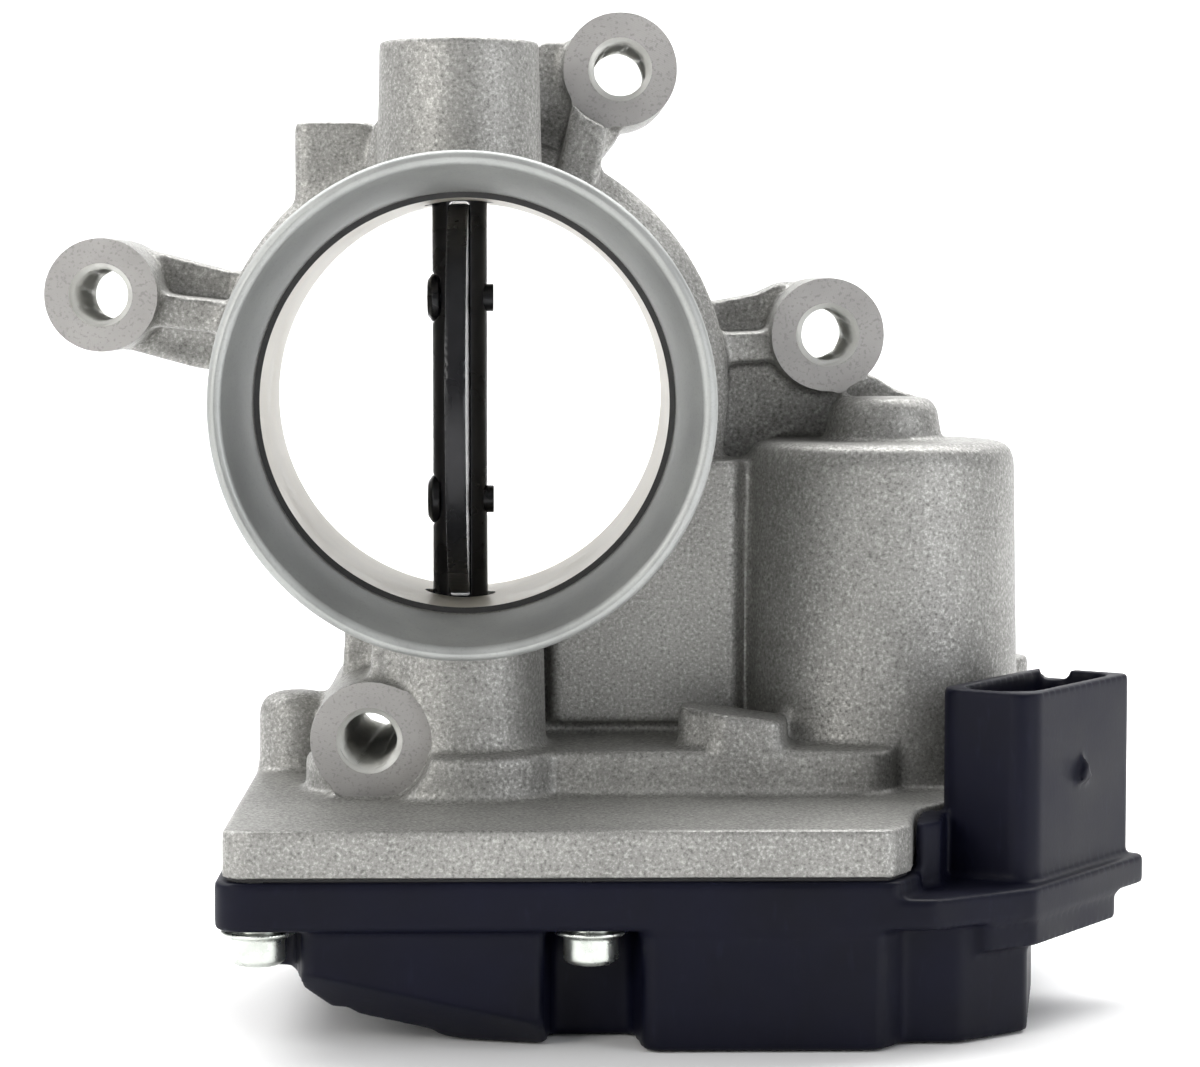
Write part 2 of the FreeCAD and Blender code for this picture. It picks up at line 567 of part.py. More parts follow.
def motor_pinion():
    at = (MOTOR_X, MOTOR_Y)
    phase = IDLER_TO_MOTOR + math.pi + math.pi / PINION_TEETH
    pinion = gear(PINION_TEETH, STAGE_ONE_MODULE, phase, at, (-58.8, -54.2))
    return pinion.cut(rod(1.5 + SLIP, (*at, -60), (*at, -50)))


# ---- motor --------------------------------------------------------------------------
def motor_rod(radius, low, high):
    return rod(radius, (MOTOR_X, MOTOR_Y, low), (MOTOR_X, MOTOR_Y, high))


def motor_screw_places():
    """Two ears, placed clear of the large gear."""
    reach = 15.9
    turns = (math.radians(-77), math.radians(140))
    return [(MOTOR_X + reach * math.cos(t), MOTOR_Y + reach * math.sin(t)) for t in turns]


def motor_case():
    """Drawn steel cup with a bearing dome and two fastening ears at its mouth."""
    outside = joined([motor_rod(MOTOR_R, MOTOR_FOOT, MOTOR_TOP),
                      motor_rod(4.2, MOTOR_TOP - 1, MOTOR_TOP + 3.4)])
    ears = [block((0, 15.9), (-3.2, 3.2), (MOTOR_FOOT - 0.8, MOTOR_FOOT)),
            rod(3.2, (15.9, 0, MOTOR_FOOT - 0.8), (15.9, 0, MOTOR_FOOT))]
    ear = joined(ears)
    plates = [motor_rod(MOTOR_R, MOTOR_FOOT - 0.8, MOTOR_FOOT)]
    for degrees in (-77, 140):
        one = ear.copy()
        one.rotate(Vector(0, 0, 0), Z_AXIS, degrees)
        one.translate(Vector(MOTOR_X, MOTOR_Y, 0))
        plates.append(one)
    solid = joined([outside] + plates)
    solid = solid.cut(motor_rod(MOTOR_R - 1.1, MOTOR_FOOT - 1, MOTOR_TOP - 1.1))
    solid = solid.cut(motor_rod(3.0, MOTOR_TOP - 2, MOTOR_TOP + 2.4))
    for x, y in motor_screw_places():
        solid = solid.cut(rod(1.4, (x, y, MOTOR_FOOT - 2), (x, y, MOTOR_FOOT + 1)))
    return solid


def motor_screws():
    screws = []
    for x, y in motor_screw_places():
        head = rod(2.4, (x, y, MOTOR_FOOT - 2.2), (x, y, MOTOR_FOOT - 0.8))
        shank = rod(1.25, (x, y, MOTOR_FOOT - 1), (x, y, -47.0))
        slot = block((x - 2.0, x + 2.0), (y - 0.3, y + 0.3), (MOTOR_FOOT - 3, MOTOR_FOOT - 1.6))
        screws.append(joined([head, shank]).cut(slot))
    return group(screws)


def field_magnets():
    """Two arc magnets bonded inside the motor case."""
    inner, outer, low, high = 10.3, MOTOR_R - 1.12, -42.0, -16.0
    magnets = []
    for start in (15, 195):
        full = Part.makeCylinder(outer, high - low, Vector(0, 0, low), Z_AXIS, 150)
        arc = full.cut(Part.makeCylinder(inner, high - low, Vector(0, 0, low)))
        arc.rotate(Vector(0, 0, 0), Z_AXIS, start)
        arc.translate(Vector(MOTOR_X, MOTOR_Y, 0))
        magnets.append(arc)
    return group(magnets)


def armature_slots(width, inner, outer, low, high):
    """Five radial bars in the places of the armature's winding slots."""
    bars = []
    for i in range(5):
        bar = block((inner, outer), (-width / 2, width / 2), (low, high))
        bar.rotate(Vector(0, 0, 0), Z_AXIS, 72 * i)
        bar.translate(Vector(MOTOR_X, MOTOR_Y, 0))
        bars.append(bar)
    return bars


def armature_core():
    core = motor_rod(9.7, -40.0, -18.0).cut(motor_rod(1.5 + SLIP, -41, -17))
    for slot in armature_slots(3.4, 4.6, 12.0, -41, -17):
        core = core.cut(slot)
    return core


def armature_windings():
    ends = []
    for low, high in ((-43.6, -40.04), (-17.96, -14.6)):
        ends.append(motor_rod(8.6, low, high).cut(motor_rod(2.2, low, high)))
    return joined(ends + armature_slots(3.2, 5.0, 8.6, -41.0, -17.0))


def commutator():
    copper = motor_rod(4.0, -49.0, -44.6).cut(motor_rod(1.5 + SLIP, -50, -44))
    for bar in armature_slots(0.4, 3.2, 5.0, -50, -44):
        copper = copper.cut(bar)
    return copper


def motor_shaft():
    return motor_rod(1.5, -59.4, MOTOR_TOP + 1.6)


def motor_bushes():
    """Sintered bushes at both ends of the motor shaft."""
    upper = motor_rod(3.0 - SLIP, MOTOR_TOP - 2.0, MOTOR_TOP + 1.2)
    lower = motor_rod(3.0 - SLIP, MOTOR_FOOT - 0.7, MOTOR_FOOT + 2.2)
    hole = motor_rod(1.5 + RUNNING, -60, 0)
    return group([upper.cut(hole), lower.cut(hole)])


def brush_plate():
    """Moulded plate that closes the motor, with two raised brush guides."""
    disc = motor_rod(MOTOR_R - 1.14, MOTOR_FOOT, MOTOR_FOOT + 1.8)
    guides = [block((MOTOR_X + low, MOTOR_X + low + 4.0), (MOTOR_Y - 2.6, MOTOR_Y + 2.6),
                    (MOTOR_FOOT + 1.7, -44.4)) for low in (5.2, -9.2)]
    solid = joined([disc] + guides).cut(motor_rod(3.0, MOTOR_FOOT - 1, MOTOR_FOOT + 3))
    solid = solid.cut(block((MOTOR_X - 10, MOTOR_X + 10), (MOTOR_Y - 1.55, MOTOR_Y + 1.55),
                            (-48.05, -45.0)))
    for x, y in terminal_places():
        solid = solid.cut(block((x - 0.42, x + 0.42), (y - 1.52, y + 1.52), (-54, -49)))
    return solid


def brushes():
    spans = ((4.06, 9.0), (-9.0, -4.06))
    return group([block((MOTOR_X + low, MOTOR_X + high), (MOTOR_Y - 1.5, MOTOR_Y + 1.5),
                        (-48.0, -45.05)) for low, high in spans])


def terminal_places():
    return [(MOTOR_X + 10.4, MOTOR_Y + way * 3.2) for way in (-1, 1)]


def motor_terminals():
    """Two blades from the brush plate to the cover's contacts."""
    return group([block((x - 0.4, x + 0.4), (y - 1.5, y + 1.5), (-61.5, -50.85))
                  for x, y in terminal_places()])


def wave_washer():
    """Spring washer between the motor and the closed end of its can."""
    return ring(11.0, 6.0, (MOTOR_X, MOTOR_Y, MOTOR_TOP + 0.1),
                (MOTOR_X, MOTOR_Y, MOTOR_TOP + 0.9))


# ---- cover --------------------------------------------------------------------------
def shroud_prism(shrink, low, high):
    """Connector outline with its near corners rounder than its far ones."""
    half_length = SHROUD_LENGTH / 2 - shrink
    half_width = SHROUD_WIDTH / 2 - shrink
    near, far = (4.0, 3.0) if shrink else (3.0, 1.2)
    shape = prism([(-half_length, -half_width, near), (half_length, -half_width, far),
                   (half_length, half_width, far), (-half_length, half_width, near)],
                  low, high)
    return place_on_shroud(shape)


def place_on_shroud(shape):
    shape.rotate(Vector(0, 0, 0), Z_AXIS, SHROUD_ANGLE)
    shape.translate(Vector(*SHROUD_CENTRE, 0))
    return shape


def solid_between(top, depth):
    """Four-sided upright prism from a tilted top polygon down to a level."""
    bottom = [Vector(p.x, p.y, depth) for p in top]
    loops = [top, bottom]
    for i in range(len(top)):
        j = (i + 1) % len(top)
        loops.append([top[i], top[j], bottom[j], bottom[i]])
    faces = [Part.Face(Part.makePolygon(loop + loop[:1])) for loop in loops]
    return Part.Solid(Part.Shell(faces))


def bevel_cut(lift):
    """Everything below the slanted face at the lower left of the cover."""
    x0, y0, z0 = BEVEL_AT
    top = [Vector(x, y, z0 + lift + BEVEL_SLOPE[0] * (x - x0) + BEVEL_SLOPE[1] * (y - y0))
           for x, y in ((-36.0, -80.0), (20.0, -80.0), (20.0, -50.0), (-36.0, -50.0))]
    return solid_between(top, -98.0)


def lower_body(shrink, high):
    """Deep part of the cover, stepped up on the left; shrink gives the inside."""
    low = COVER_BOTTOM + shrink
    body = prism(LOWER, low, high, -shrink)
    lift = 1.1 * shrink
    steps = [(x, z + lift, 0) for x, z in UNDERSIDE]
    under = slab(steps + [(2.5, -90.0, 0), (-40.0, -90.0, 0)], -90, 10)
    return body.cut(under).cut(bevel_cut(lift))


def cover_rim():
    """Flat rim under the flange, lower where it runs on around the connector."""
    rim = prism(RIM, RIM_BOTTOM, LEDGE_Z)
    raised = prism(RIM, LEDGE_Z - 0.1, JOINT_Z - GASKET)
    raised = raised.common(prism(FLANGE, RIM_BOTTOM, JOINT_Z, 1.0))
    collar = prism(COLLAR, LEDGE_Z - 0.1, COLLAR_TOP)
    collar = collar.cut(prism(FLANGE, RIM_BOTTOM, COLLAR_TOP + 1, 0.35))
    foot = prism(FOOT, FOOT_Z, RIM_BOTTOM + 0.5)
    return [rim, raised, collar, foot]


def cover_shell():
    shroud = shroud_prism(0.0, RIM_BOTTOM, SHROUD_TOP)
    solid = joined(cover_rim() + [lower_body(0.0, RIM_BOTTOM + 1), shroud])
    rim_floor = RIM_BOTTOM + COVER_WALL
    inside = prism(FLANGE, rim_floor, JOINT_Z + 1, -FLANGE_WALL)
    for x, y in COVER_SCREWS:
        inside = inside.cut(rod(SCREW_BOSS_R, (x, y, RIM_BOTTOM - 1), (x, y, JOINT_Z + 1)))
    deep = lower_body(COVER_WALL, rim_floor + 0.1)
    deep = deep.common(prism(FLANGE, COVER_BOTTOM, rim_floor + 1, -COVER_WALL))
    for x, y in COVER_SCREWS:
        deep = deep.cut(rod(6.6, (x, y, COVER_BOTTOM - 1), (x, y, RIM_BOTTOM + 1)))
    return solid.cut(inside).cut(deep)


def gearbox_cover():
    """Cover with connector shroud, screw seats, axle support and outside details."""
    solid = cover_shell()
    support = rod(4.4, (IDLER_X, IDLER_Y, COVER_BOTTOM + 1), (IDLER_X, IDLER_Y, -67.4))
    wedge = slab([(-1.6, -47.2, 0), (1.6, -47.2, 0), (0, -44.0, 0)], -1.0, 1.0)
    wedge.translate(Vector(0, -SHROUD_WIDTH / 2, 0))
    tab = block((-1.9, 1.9), (SHROUD_WIDTH / 2 - 0.5, SHROUD_WIDTH / 2 + 1.1),
                (SHROUD_TOP - 6.0, SHROUD_TOP - 0.8))
    posts = [rod(2.4, (x, y, COVER_BOTTOM + 1), (x, y, BOARD_Z - 1.21)) for x, y in BOARD_POSTS]
    pegs = [rod(1.2, (x, y, BOARD_Z - 2), (x, y, BOARD_Z + 0.5)) for x, y in BOARD_POSTS]
    solid = joined([solid, support, place_on_shroud(wedge), place_on_shroud(tab)] + posts + pegs)
    end = SHROUD_LENGTH / 2
    notch = block((end - 3.0, end + 1.0), (1.6, 6.0), (SHROUD_TOP - 1.2, SHROUD_TOP + 1))
    cuts = [rod(AXLE_R + SLIP, (IDLER_X, IDLER_Y, -72.8), (IDLER_X, IDLER_Y, -60)),
            shroud_prism(SHROUD_WALL, SOCKET_FLOOR, SHROUD_TOP + 1),
            place_on_shroud(notch)]
    for x, y in COVER_SCREWS:
        cuts.append(rod(3.2 + SLIP, (x, y, RIM_BOTTOM - 1), (x, y, JOINT_Z + 1)))
        cuts.append(rod(5.3, (x, y, COVER_BOTTOM - 1), (x, y, RIM_BOTTOM)))
    for shape in cuts:
        solid = solid.cut(shape)
    step = block((-9.4, 9.4), (-SHROUD_WIDTH / 2 + 1.0, -1.3),
                 (SOCKET_FLOOR - 0.5, SOCKET_FLOOR + 3.0))
    solid = joined([solid, place_on_shroud(step)])
    for x, y in pin_places():
        pin_hole = block((x - 0.42, x + 0.42), (y - 0.42, y + 0.42), (-60.0, SOCKET_FLOOR + 1))
        solid = solid.cut(pin_hole)
    return solid


def cover_gasket():
    """Thin seal between the flange and the cover rim, widened around each screw."""
    seal = prism(FLANGE, JOINT_Z - GASKET, JOINT_Z, -0.6)
    inner = prism(FLANGE, JOINT_Z - 1, JOINT_Z + 1, -FLANGE_WALL)
    for x, y in COVER_SCREWS:
        inner = inner.cut(rod(SCREW_BOSS_R, (x, y, JOINT_Z - 1), (x, y, JOINT_Z + 1)))
    seal = seal.cut(inner)
    for x, y in COVER_SCREWS:
        seal = seal.cut(rod(2.3, (x, y, JOINT_Z - 1), (x, y, JOINT_Z + 1)))
    return seal


def cover_bushes():
    """Steel compression sleeve in each screw hole of the cover."""
    return group([ring(3.2, 2.15, (x, y, RIM_BOTTOM - 0.3), (x, y, JOINT_Z - GASKET - 0.01))
                  for x, y in COVER_SCREWS])


def hexagon(across, x, y, low, high):
    corner = across / math.sqrt(3)
    points = [Vector(x + corner * math.cos(math.radians(60 * i)),
                     y + corner * math.sin(math.radians(60 * i)), low) for i in range(7)]
    return Part.Face(Part.makePolygon(points)).extrude(Vector(0, 0, high - low))


def cover_screws():
    """Round-headed flange screws with a hexagon socket, which hold the cover."""
    screws = []
    top = RIM_BOTTOM - 0.32
    for x, y in COVER_SCREWS:
        head = turned([(0, top - 4.1), (2.7, top - 4.1), (3.3, top - 3.6), (3.3, top - 0.7),
                       (4.5, top - 0.5), (4.5, top), (0, top)], (x, y, 0), Z_AXIS)
        socket = hexagon(3.4, x, y, top - 5, top - 2.2)
        shank = rod(2.0, (x, y, top - 0.5), (x, y, SCREW_HOLE_TOP - 0.4))
        screws.append(joined([head, shank]).cut(socket))
    return group(screws)


# ---- electrics in the cover ----------------------------------------------------------
def pin_places():
    turn = math.radians(SHROUD_ANGLE)
    return [(SHROUD_CENTRE[0] + PIN_PITCH * i * math.cos(turn),
             SHROUD_CENTRE[1] + PIN_PITCH * i * math.sin(turn)) for i in range(-2, 3)]


def connector_pins():
    return group([block((x - 0.4, x + 0.4), (y - 0.4, y + 0.4), (-59.9, -46.5))
                  for x, y in pin_places()])


def sensor_board():
    """Circuit board under the magnet, held on the cover's two posts."""
    board = prism([(-4.3, -55.0, 1.0), (15.0, -55.0, 1.5), (15.0, -25.0, 1.5),
                   (-4.3, -25.0, 1.0)], BOARD_Z - 1.2, BOARD_Z)
    for x, y in BOARD_POSTS:
        board = board.cut(rod(1.3, (x, y, BOARD_Z - 2), (x, y, BOARD_Z + 1)))
    return board


def sensor_chip():
    return block((SHAFT_X - 3.0, SHAFT_X + 3.0), (SHAFT_Y - 3.0, SHAFT_Y + 3.0),
                 (BOARD_Z + 0.01, BOARD_Z + 0.9))


NODES = {
    "housing": housing,
    "throttle_shaft": throttle_shaft,
    "throttle_plate": throttle_plate,
    "plate_screws": plate_screws,
    "bearing_inner_races": inner_races,
    "bearing_outer_races": outer_races,
    "bearing_balls": bearing_balls,
    "shaft_seals": shaft_seals,
    "boss_plug": boss_plug,
    "rear_seal": rear_seal,
    "return_spring": return_spring,
    "sector_gear": sector_gear,
    "sensor_magnet": sensor_magnet,
    "idler_gear": idler_gear,
    "idler_axle": idler_axle,
    "motor_pinion": motor_pinion,
    "motor_shaft": motor_shaft,
    "armature_core": armature_core,
    "armature_windings": armature_windings,
    "commutator": commutator,
    "motor_case": motor_case,
    "field_magnets": field_magnets,
    "motor_bushes": motor_bushes,
    "brush_plate": brush_plate,
    "brushes": brushes,
    "motor_terminals": motor_terminals,
    "motor_screws": motor_screws,
    "wave_washer": wave_washer,
    "gearbox_cover": gearbox_cover,
    "cover_gasket": cover_gasket,
    "cover_bushes": cover_bushes,
    "cover_screws": cover_screws,
    "connector_pins": connector_pins,
    "sensor_board": sensor_board,
    "sensor_chip": sensor_chip,
}

os.makedirs("parts", exist_ok=True)
for name, build in NODES.items():
    build().exportStep("parts/" + name + ".step")
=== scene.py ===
import json
import math

import bmesh
import bpy
import numpy as np
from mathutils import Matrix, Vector


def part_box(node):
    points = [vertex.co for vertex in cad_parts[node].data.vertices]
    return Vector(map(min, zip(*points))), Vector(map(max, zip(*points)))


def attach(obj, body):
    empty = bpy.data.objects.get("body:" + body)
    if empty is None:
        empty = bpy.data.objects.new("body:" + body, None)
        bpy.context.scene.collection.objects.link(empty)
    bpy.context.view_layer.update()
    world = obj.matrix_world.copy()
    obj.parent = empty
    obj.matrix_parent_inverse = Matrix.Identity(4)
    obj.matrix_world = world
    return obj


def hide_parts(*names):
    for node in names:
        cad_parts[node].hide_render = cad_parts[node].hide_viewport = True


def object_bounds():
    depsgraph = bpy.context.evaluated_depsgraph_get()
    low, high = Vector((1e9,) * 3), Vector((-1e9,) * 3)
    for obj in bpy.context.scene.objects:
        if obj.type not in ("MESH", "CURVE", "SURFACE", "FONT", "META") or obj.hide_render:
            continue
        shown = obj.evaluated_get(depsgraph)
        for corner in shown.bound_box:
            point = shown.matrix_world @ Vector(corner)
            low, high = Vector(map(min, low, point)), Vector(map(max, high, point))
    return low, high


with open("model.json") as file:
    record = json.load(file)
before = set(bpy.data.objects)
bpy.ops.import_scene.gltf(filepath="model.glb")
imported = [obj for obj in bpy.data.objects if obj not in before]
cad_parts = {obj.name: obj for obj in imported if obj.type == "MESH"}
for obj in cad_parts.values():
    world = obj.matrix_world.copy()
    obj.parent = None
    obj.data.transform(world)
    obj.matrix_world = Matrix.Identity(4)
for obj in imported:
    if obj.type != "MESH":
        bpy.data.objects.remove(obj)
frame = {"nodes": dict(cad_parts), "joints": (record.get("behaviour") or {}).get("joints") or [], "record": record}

CAD_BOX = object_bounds()
MM = 0.001

# ---- places in millimetres, read from the frame ---------------------------------------
def node_box(name):
    low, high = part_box(name)
    return low / MM, high / MM


def mount(name):
    return next(m for m in frame["record"]["mounts"] if m["name"] == name)


TURN = next(j for j in frame["joints"] if j["name"] == "throttle_turn")
SHAFT_X, SHAFT_Y = (TURN["pos_m"][i] / MM for i in (0, 1))
INLET_R = mount("inlet_spigot")["dims"]["r_mm"]
OUTLET_R = mount("outlet_bore")["dims"]["r_mm"]
OUTLET_LENGTH = mount("outlet_bore")["dims"]["length_mm"]
JOINT_Z = node_box("housing")[0].z
BORE_R = 25.0
FUNNEL_R = 28.4             # funnel, just inside the lip
INLET_Y = -70.0
SHOULDER_Y = -58.0          # rear end of the turned inlet ring
THROAT_Y = -57.0
CAST_BORE_Y = -24.0
LIP_R = 1.0                 # rounding of the inlet ring's edges
SHAFT_HOLE_R = 3.6
SHAFT_FLARE_R = 4.5
LUG_R = 7.5
THREAD_MINOR_R = mount("left_lug")["dims"]["r_mm"]
THREAD_MAJOR_R = 4.0
THREAD_PITCH = 1.25
LUG_CHAMFER = 0.8
STOCK = 0.7                 # metal that the machining takes off the casting


def lug_places():
    """(x, z, front y) of each lug."""
    places = []
    for m in frame["record"]["mounts"]:
        if m["kind"] == "threaded_hole":
            x, y, z = (value / MM for value in m["pos_m"])
            places.append((x, z, 2 * y))
    return places


LUGS = lug_places()


# ---- mesh helpers ---------------------------------------------------------------------
def new_object(name, mesh):
    made = bpy.data.objects.new(name, mesh)
    bpy.context.scene.collection.objects.link(made)
    return made


def mesh_from(name, verts, faces):
    mesh = bpy.data.meshes.new(name)
    mesh.from_pydata([tuple(MM * c for c in v) for v in verts], [], faces)
    mesh.update()
    return mesh


def lathe(name, profile, base, axis, segments=160):
    """Closed solid of revolution from (radius, height) points, in mm, about an axis."""
    spots, faces, rows = [], [], []
    for radius, height in profile:
        if radius < 1e-6:
            rows.append([len(spots)])
            spots.append((0.0, 0.0, height))
            continue
        start = len(spots)
        for i in range(segments):
            turn = 2 * math.pi * i / segments
            spots.append((radius * math.cos(turn), radius * math.sin(turn), height))
        rows.append(list(range(start, start + segments)))
    closed = rows + [rows[0]]
    for low, high in zip(closed, closed[1:]):
        if len(low) == 1 and len(high) == 1:
            continue
        for i in range(segments):
            j = (i + 1) % segments
            if len(low) == 1:
                faces.append((low[0], high[i], high[j]))
            elif len(high) == 1:
                faces.append((low[i], high[0], low[j]))
            else:
                faces.append((low[i], high[i], high[j], low[j]))
    turned = {"x": lambda p: (p[2], p[0], p[1]), "y": lambda p: (p[0], p[2], -p[1]),
              "z": lambda p: p}[axis]
    verts = [tuple(a + b for a, b in zip(turned(p), base)) for p in spots]
    return outward(mesh_from(name, verts, faces))


def outward(mesh):
    """Welds a closed mesh and points its normals outward."""
    bm = bmesh.new()
    bm.from_mesh(mesh)
    bmesh.ops.remove_doubles(bm, verts=bm.verts, dist=1e-7)
    bmesh.ops.recalc_face_normals(bm, faces=bm.faces)
    bm.to_mesh(mesh)
    bm.free()
    return mesh


def box_mesh(name, x, y, z):
    corners = [(a, b, c) for a in x for b in y for c in z]
    faces = [(0, 1, 3, 2), (4, 6, 7, 5), (0, 4, 5, 1), (2, 3, 7, 6), (0, 2, 6, 4), (1, 5, 7, 3)]
    return outward(mesh_from(name, corners, faces))


def arc(centre, radius, start, end, steps=8):
    """Points on an arc, in degrees, for a lathe profile."""
    turns = [math.radians(start + (end - start) * i / steps) for i in range(steps + 1)]
    return [(centre[0] + radius * math.cos(t), centre[1] + radius * math.sin(t)) for t in turns]


def node_copy(name):
    """A welded copy of a CAD node's mesh."""
    return outward(frame["nodes"][name].data.copy())


def baked(obj):
    """The object's mesh with its modifiers applied; the modifiers go."""
    graph = bpy.context.evaluated_depsgraph_get()
    mesh = bpy.data.meshes.new_from_object(obj.evaluated_get(graph))
    obj.modifiers.clear()
    obj.data = mesh
    return mesh


def merged(name, meshes):
    """One object holding several closed, overlapping meshes."""
    bm = bmesh.new()
    for mesh in meshes:
        bm.from_mesh(mesh)
    joined = bpy.data.meshes.new(name)
    bm.to_mesh(joined)
    bm.free()
    return new_object(name, joined)


def remeshed(obj, voxel):
    step = obj.modifiers.new("voxels", "REMESH")
    step.mode = "VOXEL"
    step.voxel_size = voxel * MM
    step.adaptivity = 0.0
    return baked(obj)


def coordinates(mesh):
    flat = np.empty(len(mesh.vertices) * 3, np.float32)
    mesh.vertices.foreach_get("co", flat)
    return flat.reshape(-1, 3) / MM


def smoothed(obj, rounds, soft):
    """Rounds the edges; soft(points) gives each vertex's share of the smoothing."""
    group = obj.vertex_groups.new(name="soft")
    weights = np.clip(soft(coordinates(obj.data)), 0.0, 1.0)
    for level in np.unique(np.round(weights, 1)):
        chosen = np.nonzero(np.abs(np.round(weights, 1) - level) < 0.05)[0]
        group.add(chosen.tolist(), float(level), "REPLACE")
    step = obj.modifiers.new("smooth", "SMOOTH")
    step.factor = 0.5
    step.iterations = rounds
    step.vertex_group = "soft"
    baked(obj)
    obj.vertex_groups.clear()


def cut(obj, cutters):
    """Machines each cutter's shape out of the object."""
    tools = []
    for mesh in cutters:
        tool = new_object("cutter", mesh)
        tools.append(tool)
        step = obj.modifiers.new("cut", "BOOLEAN")
        step.operation = "DIFFERENCE"
        step.solver = "MANIFOLD"
        step.object = tool
    baked(obj)
    for tool in tools:
        bpy.data.objects.remove(tool)


def crisp(obj, degrees=32):
    """Smooth shading with sharp edges above an angle."""
    obj.data.shade_smooth()
    obj.data.set_sharp_from_angle(angle=math.radians(degrees))


def softened_node(name, voxel, rounds, material, body, degrees=60):
    """A copy of a CAD node with its edges rounded, standing for it."""
    obj = merged(name + "_piece", [node_copy(name)])
    remeshed(obj, voxel)
    smoothed(obj, rounds, lambda points: np.ones(len(points)))
    crisp(obj, degrees)
    obj.data.materials.clear()
    obj.data.materials.append(material)
    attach(obj, body)
    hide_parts(name)


# ---- materials ------------------------------------------------------------------------
class Nodes:
    """Short calls for building a material's node tree."""

    def __init__(self, name):
        self.material = bpy.data.materials.new(name)
        self.material.use_nodes = True
        self.tree = self.material.node_tree
        self.shader = self.tree.nodes["Principled BSDF"]
        self.place = self.add("ShaderNodeTexCoord").outputs["Object"]

    def add(self, kind, **values):
        made = self.tree.nodes.new(kind)
        for key, value in values.items():
            setattr(made, key, value)
        return made

    def link(self, start, end):
        self.tree.links.new(start, end)

    def noise(self, scale, detail=3.0, roughness=0.55, stretch=None):
        """Noise with features of about 1/scale metres."""
        made = self.add("ShaderNodeTexNoise")
        made.inputs["Scale"].default_value = scale
        made.inputs["Detail"].default_value = detail
        made.inputs["Roughness"].default_value = roughness
        source = self.place
        if stretch:
            mapping = self.add("ShaderNodeMapping")
            mapping.inputs["Scale"].default_value = stretch
            self.link(self.place, mapping.inputs["Vector"])
            source = mapping.outputs["Vector"]
        self.link(source, made.inputs["Vector"])
        return made.outputs["Fac"]

    def ramp(self, value, stops):
        """Colour ramp with (position, colour) stops."""
        made = self.add("ShaderNodeValToRGB")
        elements = made.color_ramp.elements
        while len(elements) < len(stops):
            elements.new(0.5)
        for element, (position, colour) in zip(elements, stops):
            element.position = position
            element.color = (*colour, 1.0)
        self.link(value, made.inputs["Fac"])
        return made.outputs["Color"]

    def span(self, value, low, high, to_low, to_high):
        made = self.add("ShaderNodeMapRange")
        for key, number in zip(("From Min", "From Max", "To Min", "To Max"),
                               (low, high, to_low, to_high)):
            made.inputs[key].default_value = number
        self.link(value, made.inputs["Value"])
        return made.outputs["Result"]

    def math(self, operation, first, second=None):
        made = self.add("ShaderNodeMath", operation=operation)
        for slot, item in enumerate((first, second)):
            if item is None:
                continue
            if isinstance(item, (int, float)):
                made.inputs[slot].default_value = item
            else:
                self.link(item, made.inputs[slot])
        return made.outputs["Value"]

    def mix(self, share, first, second):
        made = self.add("ShaderNodeMix", data_type="RGBA", blend_type="MIX")
        self.link(share, made.inputs["Factor"])
        for slot, item in (("A", first), ("B", second)):
            socket = next(s for s in made.inputs if s.name == slot and s.type == "RGBA")
            if isinstance(item, tuple):
                socket.default_value = (*item, 1.0)
            else:
                self.link(item, socket)
        return next(s for s in made.outputs if s.type == "RGBA")

    def bump(self, height, depth, strength=1.0, under=None):
        """Bump whose height is in millimetres when it goes from 0 to 1."""
        made = self.add("ShaderNodeBump")
        made.inputs["Strength"].default_value = strength
        made.inputs["Distance"].default_value = depth * MM
        self.link(height, made.inputs["Height"])
        if under is not None:
            self.link(under, made.inputs["Normal"])
        return made.outputs["Normal"]

    def finish(self, colour=None, roughness=None, normal=None, metallic=0.0, specular=0.5):
        sockets = self.shader.inputs
        sockets["Metallic"].default_value = metallic
        for key, item in (("Base Color", colour), ("Roughness", roughness)):
            if isinstance(item, tuple):
                sockets[key].default_value = (*item, 1.0)
            elif isinstance(item, (int, float)):
                sockets[key].default_value = item
            elif item is not None:
                self.link(item, sockets[key])
        if normal is not None:
            self.link(normal, sockets["Normal"])
        sockets["Specular IOR Level"].default_value = specular
        return self.material


def shade(colour, factor):
    return tuple(c * factor for c in colour)


def cast_aluminium():
    """Blasted die-cast skin: fine bright grain over soft, cloudy greys."""
    n = Nodes("cast_aluminium")
    grain = n.noise(2300, 2.0, 0.7)
    clouds = n.noise(65, 4.0, 0.6)
    base = n.ramp(clouds, [(0.30, (0.25, 0.247, 0.235)), (0.70, (0.325, 0.322, 0.306))])
    sparkle = n.span(grain, 0.53, 0.74, 0.0, 0.65)
    pits = n.span(grain, 0.47, 0.28, 0.0, 0.65)
    colour = n.mix(sparkle, base, (0.62, 0.62, 0.59))
    colour = n.mix(pits, colour, (0.09, 0.09, 0.084))
    rough = n.span(grain, 0.3, 0.7, 0.60, 0.44)
    lumps = n.bump(n.noise(380, 3.0, 0.6), 0.07)
    normal = n.bump(grain, 0.05, under=lumps)
    return n.finish(colour, rough, normal, metallic=0.62)


